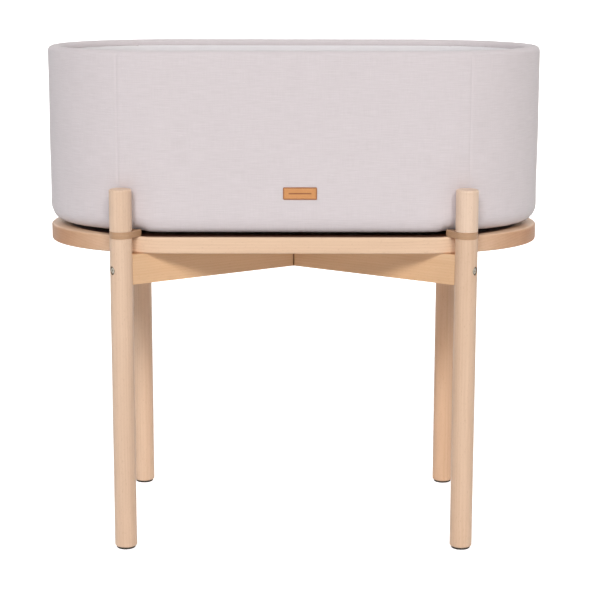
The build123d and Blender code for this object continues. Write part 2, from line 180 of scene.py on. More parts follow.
def weld(piece, distance=0.02 * MM):
    """Merges vertices that lie together, which closes seams and the flat middle of a base."""
    work = bmesh.new()
    work.from_mesh(piece.data)
    bmesh.ops.remove_doubles(work, verts=work.verts, dist=distance)
    bmesh.ops.dissolve_degenerate(work, edges=work.edges, dist=distance)
    work.to_mesh(piece.data)
    work.free()
    piece.data.shade_smooth()


def thicken(piece, thickness):
    """Gives a sheet its thickness, grown behind its outer face."""
    solid = piece.modifiers.new("thickness", "SOLIDIFY")
    solid.thickness = thickness
    solid.offset = -1


def finish_piece(piece, body, slot, material, *replaced):
    """Gives a piece its material and its body, and hides the CAD nodes that it stands for; the slot is not
    used.
    """
    piece.data.materials.append(material)
    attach(piece, body)
    if replaced:
        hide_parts(*replaced)


def smooth_step(value, low, high):
    """0 below low, 1 above high, and 3t^2 - 2t^3 between them."""
    t = np.clip((value - low) / (high - low), 0, 1)
    return t * t * (3 - 2 * t)


def bell(value, middle, spread):
    """exp(-t^2), with t the distance from the middle over the spread."""
    return np.exp(-((value - middle) / spread) ** 2)


def arc(start, stop, count):
    """Evenly spaced angles between two given in degrees, in radians."""
    return np.radians(np.linspace(start, stop, count))


# ================================================================ shader helpers
def add(tree, kind, inputs=None, **attributes):
    """Adds a shader node, sets its attributes, and gives each named input a value or a link."""
    made = tree.nodes.new(kind)
    for key, value in attributes.items():
        setattr(made, key, value)
    for key, value in (inputs or {}).items():
        if isinstance(value, bpy.types.NodeSocket):
            tree.links.new(value, made.inputs[key])
        else:
            made.inputs[key].default_value = value
    return made


def calc(tree, operation, *values):
    made = add(tree, "ShaderNodeMath", dict(enumerate(values)), operation=operation)
    return made.outputs[0]


def mix(tree, factor, first, second, blend="MIX"):
    made = add(tree, "ShaderNodeMix", {0: factor, 6: first, 7: second}, data_type="RGBA",
               blend_type=blend)
    return made.outputs[2]


def remap(tree, value, low, high, to_low=0.0, to_high=1.0):
    made = add(tree, "ShaderNodeMapRange", {0: value, 1: low, 2: high, 3: to_low, 4: to_high})
    return made.outputs[0]


def noise(tree, vector, scale, detail=2.0, roughness=0.5, stretch=(1, 1, 1)):
    """Noise on a vector stretched by stretch, from 0 to 1."""
    placed = add(tree, "ShaderNodeMapping", {0: vector, 3: stretch})
    made = add(tree, "ShaderNodeTexNoise", {"Vector": placed.outputs[0], "Scale": scale,
                                            "Detail": detail, "Roughness": roughness})
    return made.outputs[0]


def new_group(name, inputs, outputs):
    """A shader node group with named sockets. inputs: name -> (kind, default)."""
    tree = bpy.data.node_groups.new(name, "ShaderNodeTree")
    kinds = {"colour": "NodeSocketColor", "value": "NodeSocketFloat", "vector": "NodeSocketVector"}
    for label, (kind, default) in inputs.items():
        socket = tree.interface.new_socket(label, in_out="INPUT", socket_type=kinds[kind])
        if default is not None:
            socket.default_value = default
    for label, kind in outputs.items():
        tree.interface.new_socket(label, in_out="OUTPUT", socket_type=kinds[kind])
    entry = tree.nodes.new("NodeGroupInput")
    leave = tree.nodes.new("NodeGroupOutput")
    return tree, entry.outputs, leave.inputs


def wood_group():
    """Beech: tone that drifts along the grain, faint growth rings and short dark flecks.

    The vector's X runs along the grain. Rings are a wave on the distance from an axis beside the
    piece, so they close into arcs on end grain.
    """
    tree, given, out = new_group(
        "beech grain",
        {"Vector": ("vector", None), "Light": ("colour", (1, 1, 1, 1)), "Dark": ("colour", (0, 0, 0, 1)),
         "Ring Strength": ("value", 0.3), "Fleck Strength": ("value", 0.35), "Roughness": ("value", 0.45)},
        {"Color": "colour", "Roughness": "value", "Height": "value"})
    vector = given["Vector"]
    tone = noise(tree, vector, 1.0, 3.0, 0.55, (2.2, 38, 38))
    streak = noise(tree, vector, 1.0, 4.0, 0.6, (9, 420, 420))
    shifted = add(tree, "ShaderNodeMapping", {0: vector, 1: (0, 0.055, 0.09)})
    rings = add(tree, "ShaderNodeTexWave",
                {"Vector": shifted.outputs[0], "Scale": 62.0, "Distortion": 2.2, "Detail": 2.0,
                 "Detail Scale": 0.35, "Detail Roughness": 0.5},
                wave_type="RINGS", rings_direction="X", wave_profile="SIN")
    ring = calc(tree, "POWER", rings.outputs[1], 2.2)
    fleck_noise = noise(tree, vector, 1.0, 1.0, 0.4, (170, 1500, 700))
    fleck = remap(tree, fleck_noise, 0.64, 0.74)
    tone = remap(tree, tone, 0.3, 0.72)
    streak = remap(tree, streak, 0.3, 0.7)
    shade = calc(tree, "MULTIPLY_ADD", tone, 0.42, calc(tree, "MULTIPLY", streak, 0.22))
    shade = calc(tree, "MULTIPLY_ADD", ring, given["Ring Strength"], shade)
    base = mix(tree, shade, given["Light"], given["Dark"])
    darker = mix(tree, 1.0, base, (0.62, 0.5, 0.42, 1), "MULTIPLY")
    amount = calc(tree, "MULTIPLY", fleck, given["Fleck Strength"])
    tree.links.new(mix(tree, amount, base, darker), out["Color"])
    rough = calc(tree, "MULTIPLY_ADD", streak, 0.10, given["Roughness"])
    tree.links.new(rough, out["Roughness"])
    relief = calc(tree, "MULTIPLY_ADD", fleck, -0.6, calc(tree, "MULTIPLY", streak, 0.4))
    tree.links.new(relief, out["Height"])
    return tree


def weave_group():
    """Plain weave on a cloth map in metres: two sets of threads, crossing over and under.

    Each set is a sine across its threads; a product of sines picks which set lies on top.
    Slubs are noise drawn out along the weft, knots are its rare peaks, and mottle is uneven dye.
    """
    tree, given, out = new_group(
        "plain weave",
        {"Vector": ("vector", None), "Cloth": ("colour", (1, 1, 1, 1)), "Shadow": ("colour", (0, 0, 0, 1)),
         "Thread": ("value", 0.0009), "Slub": ("value", 0.5), "Mottle": ("value", 0.3),
         "Roughness": ("value", 0.85)},
        {"Color": "colour", "Roughness": "value", "Height": "value"})
    parts = add(tree, "ShaderNodeSeparateXYZ", {0: given["Vector"]})
    wander = noise(tree, given["Vector"], 1.0, 1.0, 0.5, (60, 60, 60))
    pull = calc(tree, "MULTIPLY", wander, 0.0012)
    across = calc(tree, "DIVIDE", calc(tree, "ADD", parts.outputs[0], pull), given["Thread"])
    upward = calc(tree, "DIVIDE", calc(tree, "ADD", parts.outputs[1], pull), given["Thread"])
    warp = calc(tree, "SINE", calc(tree, "MULTIPLY", across, math.pi))
    weft = calc(tree, "SINE", calc(tree, "MULTIPLY", upward, math.pi))
    crossing = calc(tree, "MULTIPLY", warp, weft)
    knit = remap(tree, crossing, -1.0, 1.0)
    slub = noise(tree, given["Vector"], 1.0, 3.0, 0.6, (30, 620, 1))
    slub_up = noise(tree, given["Vector"], 1.0, 2.0, 0.5, (760, 34, 1))
    mottle = noise(tree, given["Vector"], 1.0, 2.0, 0.5, (14, 22, 1))
    slub = remap(tree, slub, 0.36, 0.68)
    slub_up = remap(tree, slub_up, 0.36, 0.68)
    knot = remap(tree, noise(tree, given["Vector"], 1.0, 1.0, 0.4, (75, 420, 1)), 0.72, 0.80)
    both = calc(tree, "MULTIPLY_ADD", slub_up, 0.28, calc(tree, "MULTIPLY", slub, 0.72))
    shade = calc(tree, "MULTIPLY", both, given["Slub"])
    shade = calc(tree, "MULTIPLY_ADD", mottle, given["Mottle"], shade)
    shade = calc(tree, "MULTIPLY_ADD", knit, 0.16, shade)
    shade = calc(tree, "MULTIPLY_ADD", knot, -0.35, shade)
    tree.links.new(mix(tree, shade, given["Cloth"], given["Shadow"]), out["Color"])
    tree.links.new(calc(tree, "MULTIPLY_ADD", both, 0.08, given["Roughness"]), out["Roughness"])
    height = calc(tree, "MULTIPLY_ADD", both, 0.6, calc(tree, "MULTIPLY", knit, 0.5))
    height = calc(tree, "ADD", height, knot)
    tree.links.new(height, out["Height"])
    return tree


WOOD = wood_group()
WEAVE = weave_group()


def new_material(name):
    """A material with its Principled shader, ready to be wired."""
    material = bpy.data.materials.new(name)
    material.use_nodes = True
    tree = material.node_tree
    shader = tree.nodes["Principled BSDF"]
    return material, tree, shader


def bumped(tree, shader, height, strength, distance):
    bump = add(tree, "ShaderNodeBump", {"Height": height, "Strength": strength, "Distance": distance})
    tree.links.new(bump.outputs[0], shader.inputs["Normal"])


PALEST = ((0.85, 0.64, 0.50, 1), (0.70, 0.49, 0.35, 1))
PALE = ((0.79, 0.57, 0.42, 1), (0.635, 0.415, 0.28, 1))
MIDDLE = ((0.765, 0.54, 0.39, 1), (0.61, 0.39, 0.25, 1))
HONEY = ((0.83, 0.59, 0.42, 1), (0.67, 0.435, 0.28, 1))
WARM = ((0.79, 0.515, 0.31, 1), (0.635, 0.36, 0.18, 1))
# painted shade: a darker, more saturated copy of the leg wood for the back right leg, which stands in shade
PAINTED_SHADE_TONE = ((0.74, 0.485, 0.325, 1), (0.59, 0.345, 0.20, 1))
DEEP = ((0.53, 0.32, 0.19, 1), (0.41, 0.23, 0.12, 1))
LEG_TONES = {"front_left": PALE, "front_right": MIDDLE, "back_left": MIDDLE, "back_right": PAINTED_SHADE_TONE}
PEG_TONES = {"front_left": PALE, "front_right": PALEST, "back_left": PALE, "back_right": MIDDLE}


def painted_shade_under_basket(tree, place, upward):
    """1 on the part of the deck's top that gets painted shade for the basket's shadow, and 0 outside it.

    r = sqrt(q^2 + (y / half width)^2), with q the run into the oval's end over its reach, is 1 on the
    deck's outline. The painted shade ends close to the outline along the sides and further in at the ends.
    """
    parts = add(tree, "ShaderNodeSeparateXYZ", {0: place}).outputs
    along = calc(tree, "ABSOLUTE", parts[0])
    into_end = calc(tree, "MAXIMUM", calc(tree, "SUBTRACT", along, HALF_LENGTH - END_REACH), 0.0)
    q = calc(tree, "DIVIDE", into_end, END_REACH)
    across = calc(tree, "DIVIDE", parts[1], HALF_WIDTH)
    r = calc(tree, "SQRT", calc(tree, "ADD", calc(tree, "MULTIPLY", q, q),
                                calc(tree, "MULTIPLY", across, across)))
    limit = remap(tree, along, 0.26, 0.41, 1.0, 0.86)
    inside = remap(tree, calc(tree, "SUBTRACT", limit, r), -0.005, 0.025)
    return calc(tree, "MULTIPLY", inside, remap(tree, upward, 0.35, 0.85))


def crossing_line(tree, place):
    """1 on the narrow upright shadow lines where the two rails meet in front and behind."""
    parts = add(tree, "ShaderNodeSeparateXYZ", {0: place}).outputs
    near = remap(tree, calc(tree, "ABSOLUTE", parts[0]), 0.5 * MM, 1.6 * MM, 1.0, 0.0)
    return calc(tree, "MULTIPLY", near, remap(tree, calc(tree, "ABSOLUTE", parts[1]), 11 * MM, 12 * MM))


def beech(name, turn, tones=PALE, rings=0.16, flecks=0.3, shift=(0, 0, 0), darkening=None):
    """Lacquered beech whose grain runs along X once the place is turned by turn, in degrees.

    On the deck, the colour deepens where the surface faces along X: partly end grain drinking more
    lacquer, partly painted shade on the deck's ends. The deck's top under the basket gets painted
    shade, and the rails get painted shadow lines where they cross.
    """
    material, tree, shader = new_material(name)
    place = add(tree, "ShaderNodeTexCoord").outputs["Object"]
    angles = tuple(math.radians(a) for a in turn)
    turned = add(tree, "ShaderNodeMapping", {0: place, 1: shift, 2: angles})
    grain = add(tree, "ShaderNodeGroup", node_tree=WOOD)
    tree.links.new(turned.outputs[0], grain.inputs["Vector"])
    for key, value in {"Light": tones[0], "Dark": tones[1], "Ring Strength": rings,
                       "Fleck Strength": flecks, "Roughness": 0.40}.items():
        grain.inputs[key].default_value = value
    wood = grain.outputs["Color"]
    if darkening == "deck":
        facing = add(tree, "ShaderNodeTexCoord").outputs["Normal"]
        faces = add(tree, "ShaderNodeSeparateXYZ", {0: facing}).outputs
        # darker where the surface faces along X: partly end grain drinking more lacquer, partly painted
        # shade on the deck's ends
        end_grain_and_painted_shade = remap(tree, calc(tree, "ABSOLUTE", faces[0]), 0.25, 0.85)
        wood = mix(tree, end_grain_and_painted_shade, wood, mix(tree, 1.0, wood, (0.68, 0.48, 0.34, 1), "MULTIPLY"))
        # painted shade: the deck's top under the basket is darkened to stand for the basket's shadow
        dark = mix(tree, 1.0, wood, (0.11, 0.05, 0.03, 1), "MULTIPLY")
        wood = mix(tree, painted_shade_under_basket(tree, place, faces[2]), wood, dark)
    if darkening == "crossing":
        # painted shadow: dark upright lines where the two rails cross
        dark = mix(tree, 1.0, wood, (0.20, 0.12, 0.07, 1), "MULTIPLY")
        wood = mix(tree, crossing_line(tree, place), wood, dark)
    tree.links.new(wood, shader.inputs["Base Color"])
    tree.links.new(grain.outputs["Roughness"], shader.inputs["Roughness"])
    shader.inputs["Coat Weight"].default_value = 0.18
    shader.inputs["Coat Roughness"].default_value = 0.32
    bumped(tree, shader, grain.outputs["Height"], 0.25, 0.15 * MM)
    return material


def cloth(name, colour, shadow, thread, slub, mottle, roughness=0.88, sheen=0.25, relief=0.35):
    """Woven cloth on the piece's own map."""
    material, tree, shader = new_material(name)
    place = add(tree, "ShaderNodeTexCoord").outputs["UV"]
    weave = add(tree, "ShaderNodeGroup", node_tree=WEAVE)
    tree.links.new(place, weave.inputs["Vector"])
    for key, value in {"Cloth": colour, "Shadow": shadow, "Thread": thread, "Slub": slub,
                       "Mottle": mottle, "Roughness": roughness}.items():
        weave.inputs[key].default_value = value
    tree.links.new(weave.outputs["Color"], shader.inputs["Base Color"])
    tree.links.new(weave.outputs["Roughness"], shader.inputs["Roughness"])
    shader.inputs["Sheen Weight"].default_value = sheen
    shader.inputs["Sheen Roughness"].default_value = 0.5
    shader.inputs["Specular IOR Level"].default_value = 0.25
    bumped(tree, shader, weave.outputs["Height"], relief, 0.5 * MM)
    return material


def tan_leather():
    """Smooth tan leather: fine pores from cells, uneven dye, a burnished rim and a dark pressed rule.

    The rim and the rule follow the tag's own map, which holds metres from the middle of its face.
    """
    material, tree, shader = new_material("tan leather")
    place = add(tree, "ShaderNodeTexCoord").outputs["Object"]
    pores = add(tree, "ShaderNodeTexVoronoi", {"Vector": place, "Scale": 1400.0},
                feature="DISTANCE_TO_EDGE")
    dye = noise(tree, place, 90.0, 3.0, 0.6)
    pore = remap(tree, pores.outputs[0], 0.0, 0.12)
    colour = mix(tree, dye, (0.71, 0.33, 0.12, 1), (0.60, 0.26, 0.09, 1))
    edge = mix(tree, pore, (0.42, 0.16, 0.06, 1), colour)
    plain = mix(tree, 0.75, edge, colour)
    spot = add(tree, "ShaderNodeSeparateXYZ", {0: add(tree, "ShaderNodeTexCoord").outputs["UV"]}).outputs
    burnish_start, burnish_full = 2.4 * MM, 0.9 * MM
    across, upward = calc(tree, "ABSOLUTE", spot[0]), calc(tree, "ABSOLUTE", spot[1])
    rim = calc(tree, "MAXIMUM",
               remap(tree, across, TAG_HALF_X - burnish_start, TAG_HALF_X - burnish_full),
               remap(tree, upward, TAG_HALF_Z - burnish_start, TAG_HALF_Z - burnish_full))
    rule = calc(tree, "MULTIPLY", remap(tree, upward, 0.9 * MM, 1.5 * MM, 1.0, 0.0),
                remap(tree, across, TAG_RULE_HALF, TAG_RULE_HALF + 2 * MM, 1.0, 0.0))
    burnished = calc(tree, "MAXIMUM", calc(tree, "MULTIPLY", rim, 0.9), rule)
    deep = mix(tree, 1.0, plain, (0.50, 0.38, 0.33, 1), "MULTIPLY")
    tree.links.new(mix(tree, burnished, plain, deep), shader.inputs["Base Color"])
    tree.links.new(remap(tree, dye, 0.2, 0.8, 0.42, 0.58), shader.inputs["Roughness"])
    bumped(tree, shader, pore, 0.25, 0.08 * MM)
    return material


def thread_material(name, colour):
    """Twisted sewing thread: slanting bands on Object coordinates."""
    material, tree, shader = new_material(name)
    place = add(tree, "ShaderNodeTexCoord").outputs["Object"]
    twist = add(tree, "ShaderNodeTexWave", {"Vector": place, "Scale": 420.0, "Distortion": 1.0},
                bands_direction="DIAGONAL")
    dark = tuple(c * 0.7 for c in colour[:3]) + (1,)
    tree.links.new(mix(tree, twist.outputs[1], dark, colour), shader.inputs["Base Color"])
    shader.inputs["Roughness"].default_value = 0.7
    bumped(tree, shader, twist.outputs[1], 0.4, 0.1 * MM)
    return material


def zinc_steel():
    """Dull zinc-plated steel: patchy gloss, fine turning marks, and painted shade round each bolt head.

    The painted shade stands for the shadow in the recess round each head. It follows the distance
    from the nearest bolt's axis, found on the absolute x and y because the four axes are mirror
    images of one another.
    """
    material, tree, shader = new_material("zinc steel")
    place = add(tree, "ShaderNodeTexCoord").outputs["Object"]
    parts = add(tree, "ShaderNodeSeparateXYZ", {0: place})
    diagonal = math.hypot(LEG_X, LEG_Y)
    from_x = calc(tree, "MULTIPLY", calc(tree, "ABSOLUTE", parts.outputs[0]), LEG_Y / diagonal)
    from_y = calc(tree, "MULTIPLY", calc(tree, "ABSOLUTE", parts.outputs[1]), LEG_X / diagonal)
    across = calc(tree, "SUBTRACT", from_x, from_y)
    above = calc(tree, "SUBTRACT", parts.outputs[2], (bolts_low.z + bolts_high.z) / 2)
    off_axis = calc(tree, "SQRT", calc(tree, "ADD", calc(tree, "MULTIPLY", across, across),
                                      calc(tree, "MULTIPLY", above, above)))
    patch = noise(tree, place, 260.0, 3.0, 0.6)
    marks = noise(tree, place, 1.0, 2.0, 0.5, (300, 300, 2400))
    bare = mix(tree, patch, (0.62, 0.57, 0.48, 1), (0.78, 0.74, 0.66, 1))
    # painted shade: near-black away from each bolt's axis, standing for the shadow in the recess round the
    # head
    painted_recess_shade = remap(tree, off_axis, 4.2 * MM, 6.0 * MM)
    tree.links.new(mix(tree, painted_recess_shade, bare, (0.13, 0.10, 0.07, 1)), shader.inputs["Base Color"])
    tree.links.new(remap(tree, marks, 0.2, 0.8, 0.32, 0.50), shader.inputs["Roughness"])
    shader.inputs["Metallic"].default_value = 1.0
    bumped(tree, shader, marks, 0.15, 0.05 * MM)
    return material


def glide_pad():
    """Dark felt-faced rubber pad: fibrous speckle."""
    material, tree, shader = new_material("glide pad")
    place = add(tree, "ShaderNodeTexCoord").outputs["Object"]
    fibre = noise(tree, place, 1500.0, 3.0, 0.7)
    tree.links.new(mix(tree, fibre, (0.030, 0.024, 0.020, 1), (0.085, 0.070, 0.060, 1)),
                   shader.inputs["Base Color"])
    tree.links.new(remap(tree, fibre, 0.2, 0.8, 0.8, 0.95), shader.inputs["Roughness"])
    bumped(tree, shader, fibre, 0.5, 0.3 * MM)
    return material


# ================================================================ basket cover
def near_tongues(x, y):
    """1 over the four bearer tongues and 0 well clear of them, from the distance to each one."""
    diagonal = math.hypot(LEG_X, LEG_Y)
    weight = np.zeros(np.broadcast(x, y).shape)
    for sx in (-1, 1):
        for sy in (-1, 1):
            along_x, along_y = -sx * LEG_X / diagonal, -sy * LEG_Y / diagonal
            from_x, from_y = x - sx * LEG_X, y - sy * LEG_Y
            run = np.clip(from_x * along_x + from_y * along_y, 0, TONGUE_REACH)
            gap = np.hypot(from_x - run * along_x, from_y - run * along_y)
            gap = gap - LEG_R * (1 - 0.85 * run / TONGUE_REACH)
            weight = np.maximum(weight, 1 - smooth_step(gap, 1 * MM, 15 * MM))
    return weight


def cover_profile(lip):
    """Inset and height of each row, from the middle of the base, up the wall and over the rim.

    The lower edge is a quarter ellipse, BOTTOM_R high and lip deep; lip holds one depth for each
    column, so the edge is tighter along the sides than round the ends.
    """
    low, top = cover_low.z, cover_high.z
    lip = lip[None, :]
    level = np.linspace(0, 1, 22)[:-1, None] ** 0.7
    lower = arc(0, 90, 16)[:, None]
    outer = arc(0, 90, 10)[:, None]
    wall = np.linspace(low + BOTTOM_R, top - RIM_R, 34)[1:-1]
    flat_rim = WALL_T - RIM_R
    even = np.ones(lip.shape)
    inset = np.concatenate([
        HALF_WIDTH - (HALF_WIDTH - lip) * level, lip * (1 - np.sin(lower)), 0 * wall[:, None] * even,
        RIM_R * (1 - np.cos(outer)) * even, (flat_rim + RIM_R * np.sin(outer)) * even,
        WALL_T * even, (WALL_T - 1.2 * MM) * even])
    height = np.concatenate([
        np.full(level.size, low), low + BOTTOM_R * (1 - np.cos(lower[:, 0])), wall,
        top - RIM_R * (1 - np.sin(outer[:, 0])), top - RIM_R * (1 - np.cos(outer[:, 0])),
        [top - TURN_IN, top - TURN_IN - 0.6 * MM]])
    return inset, height


def basket_cover(material):
    """The upholstered outside of the basket, as one carried profile with soft unevenness.

    Outward swell is the sum of slow waves, gathers round the two ends at the lower edge and the
    rim, a groove with raised lips at each upright seam, and a press mark behind each peg; it is
    nought behind the tag. The lower edge hangs by a bell-shaped sag that is taken back over the
    four bearer tongues.
    """
    places, outward, run = oval_ring(HALF_LENGTH, HALF_WIDTH, COVER_COLUMNS, SEAM_X)
    low, top = cover_low.z, cover_high.z
    s = run[:-1][None, :]
    x, y = places[None, :, 0], places[None, :, 1]
    end = smooth_step(np.abs(x), HALF_LENGTH - END_REACH, HALF_LENGTH - 0.4 * END_REACH)
    inset, height = cover_profile(LIP_R + (BOTTOM_R - LIP_R) * end[0])
    t, z = inset, height[:, None]
    on_wall = smooth_step(z, low, low + BOTTOM_R) * (1 - smooth_step(t, 0, 6 * MM) * (z > low + 0.1))
    slow = 0.40 * np.sin(2 * math.pi * s / 0.343 + 1.1) * np.sin(2 * math.pi * z / 0.29 + 0.4)
    slow = slow + 0.25 * np.sin(2 * math.pi * s / 0.157 + 2.0 + 3.0 * z) * np.sin(2 * math.pi * z / 0.171)
    gather = np.sin(2 * math.pi * s / 0.031 + 2.2 * np.sin(2 * math.pi * s / 0.19))
    lower_band = bell(z, low + 0.5 * BOTTOM_R, 0.9 * BOTTOM_R) * (1 - smooth_step(t, 12 * MM, 60 * MM))
    rim_band = bell(z, top, 9 * MM)
    swell = slow * on_wall + gather * (0.15 + 0.75 * end) * lower_band * 0.8
    swell = swell + 0.35 * np.sin(2 * math.pi * s / 0.047 + np.sin(s * 23)) * (0.3 + end) * rim_band
    off_seam = np.abs(x) - SEAM_X
    upright = smooth_step(z, low + 4 * MM, low + BOTTOM_R) * (1 - smooth_step(z, top - 8 * MM, top))
    groove = 0.55 * bell(off_seam, 0, 1.5 * MM) - 0.2 * bell(np.abs(off_seam), 5 * MM, 3 * MM)
    swell = swell - groove * upright
    beside_peg = bell(np.abs(x), LEG_X, 26 * MM)
    behind_peg = beside_peg * (1 - smooth_step(z, PEG_TOP - 6 * MM, PEG_TOP + 16 * MM))
    swell = swell * (1 - 0.8 * behind_peg) - 1.0 * behind_peg * on_wall
    behind_tag = (y < 0) * bell(x, tag_middle.x, 45 * MM) * bell(z, tag_middle.z, 28 * MM)
    swell = swell * (1 - behind_tag) * MM
    points = carry(places, outward, t - swell, z)
    hang = bell(t, 0.9 * LIP_R, 1.6 * BOTTOM_R) * (1 - smooth_step(z, low + 6 * MM, low + 1.5 * BOTTOM_R))
    points[..., 2] -= SAG * hang * (1 - near_tongues(points[..., 0], points[..., 1]))
    middle = inset.shape[1] // 8
    uv = cloth_map(run, distance_along(inset[:, middle], height))
    piece = grid_piece("basket_cover", points, uv, flip=True)
    weld(piece)
    thicken(piece, CLOTH_T)
    finish_piece(piece, "basket", "linen_cloth", material, "outer_cover", "wall_padding", "base_padding")


def basket_lining(material):
    """The inside cloth: wall with hanging gathers below the rim seam, and the floor of the basket.

    Gathers are waves round the wall that fade with the distance below the seam.
    """
    places, outward, run = oval_ring(HALF_LENGTH, HALF_WIDTH, LINING_COLUMNS)
    low, top = lining_low.z + 2 * MM, cover_high.z - TURN_IN
    corner = 9 * MM
    turn = arc(0, 90, 8)
    wall = np.linspace(top - 5 * MM, low + corner, 26)
    floor = np.linspace(LINING_INSET + 2 * MM + corner, HALF_WIDTH, 16)[1:]
    inset = np.concatenate([[WALL_T - 1.6 * MM, WALL_T - 0.5 * MM, WALL_T], np.full(wall.size, WALL_T),
                            WALL_T + corner * (1 - np.cos(turn[1:])), floor])
    height = np.concatenate([[top + 1.5 * MM, top - 0.5 * MM, top - 2.5 * MM], wall,
                             low + corner * (1 - np.sin(turn[1:])), np.full(floor.size, low)])
    s = run[:-1][None, :]
    t, z = inset[:, None], height[:, None]
    below = np.clip(top - z, 0, None)
    fade = np.exp(-below / (34 * MM)) * smooth_step(below, 0, 4 * MM)
    fold = 0.5 * np.sin(2 * math.pi * s / 0.038 + 2.0 * np.sin(2 * math.pi * s / 0.27))
    slow = 0.6 * np.sin(2 * math.pi * s / 0.21 + 9 * z) * smooth_step(below, 0, 60 * MM)
    slow = slow * (z > low + corner)
    points = carry(places, outward, t + (fold * fade - 0.4 * slow) * MM, z)
    piece = grid_piece("basket_lining", points, cloth_map(run, distance_along(inset, height)))
    weld(piece)
    thicken(piece, LINING_T)
    finish_piece(piece, "basket", "lining_cloth", material, "lining", "inner_padding")


# ================================================================ stitches
def ahead_of(places):
    """Unit directions along a closed row of places: from the one before to the one after."""
    ahead = np.roll(places, -1, axis=0) - np.roll(places, 1, axis=0)
    return ahead / np.linalg.norm(ahead, axis=1)[:, None]


def stitch_run(name, places, directions, normals, length, radius, body, slot, material):
    """Rows of short stitches as one mesh: each is an ellipsoid-ended bead along its direction.

    A bead is r(v) = radius * sqrt(1 - v^4) round the direction, at length / 2 * v along it.
    """
    rings, sides = 7, 6
    v = np.linspace(-1, 1, rings)
    angle = np.linspace(0, 2 * math.pi, sides + 1)[:-1]
    radial = radius * np.sqrt(np.clip(1 - v ** 4, 0, None))
    side = np.cross(normals, directions)
    round_bead = (normals[:, None, None, :] * np.cos(angle)[None, None, :, None]
                  + side[:, None, None, :] * np.sin(angle)[None, None, :, None])
    points = (places[:, None, None, :]
              + directions[:, None, None, :] * (length / 2 * v)[None, :, None, None]
              + round_bead * radial[None, :, None, None])
    row, column = np.meshgrid(np.arange(rings - 1), np.arange(sides), indexing="ij")
    following = (column + 1) % sides
    quad = np.stack([row * sides + column, (row + 1) * sides + column, (row + 1) * sides + following,
                     row * sides + following], axis=-1).reshape(-1, 4)
    starts = np.arange(places.shape[0]) * rings * sides
    faces = (quad[None] + starts[:, None, None]).reshape(-1, 4)
    mesh = bpy.data.meshes.new(name)
    mesh.from_pydata(points.reshape(-1, 3), [], faces.tolist())
    piece = new_object(name, mesh)
    weld(piece, 0.005 * MM)
    finish_piece(piece, body, slot, material)


def rim_stitches(material):
    """A line of stitches round the inside, just above the edge of the turned-in cloth."""
    places, outward, run = oval_ring(HALF_LENGTH, HALF_WIDTH, STITCH_COLUMNS)
    count = 340
    wanted = (np.arange(count) + 0.5) * run[-1] / count
    ring = np.concatenate([places, places[:1]])
    out = np.concatenate([outward, outward[:1]])
    x, y = (np.interp(wanted, run, ring[:, i]) for i in (0, 1))
    ox, oy = (np.interp(wanted, run, out[:, i]) for i in (0, 1))
    level = np.full(count, cover_high.z - TURN_IN + 2.2 * MM)
    inset = WALL_T + 0.1 * MM
    spots = np.stack([x - inset * ox, y - inset * oy, level], axis=1)
    inward = np.stack([-ox, -oy, np.zeros(count)], axis=1)
    stitch_run("rim_stitches", spots, ahead_of(spots), inward, 4.0 * MM, 0.45 * MM, "basket",
               "lining_cloth", material)


# ================================================================ tag
def rounded_rectangle(half_x, half_z, corner, count):
    """Points round a rectangle with quarter-circle corners, evenly spaced.

    They start at the middle of its right side.
    """
    turn = np.linspace(0, math.pi / 2, 24)
    arcs = []
    for quarter, (cx, cz) in enumerate([(1, 1), (-1, 1), (-1, -1), (1, -1)]):
        angle = turn + quarter * math.pi / 2
        arcs.append(np.stack([cx * (half_x - corner) + corner * np.cos(angle),
                              cz * (half_z - corner) + corner * np.sin(angle)], axis=1))
    loop = np.concatenate(arcs + [arcs[0][:1]])
    run = distance_along(*loop.T)
    wanted = (np.arange(count) * run[-1] / count - (half_z - corner)) % run[-1]
    return np.stack([np.interp(wanted, run, loop[:, i]) for i in (0, 1)], axis=1)


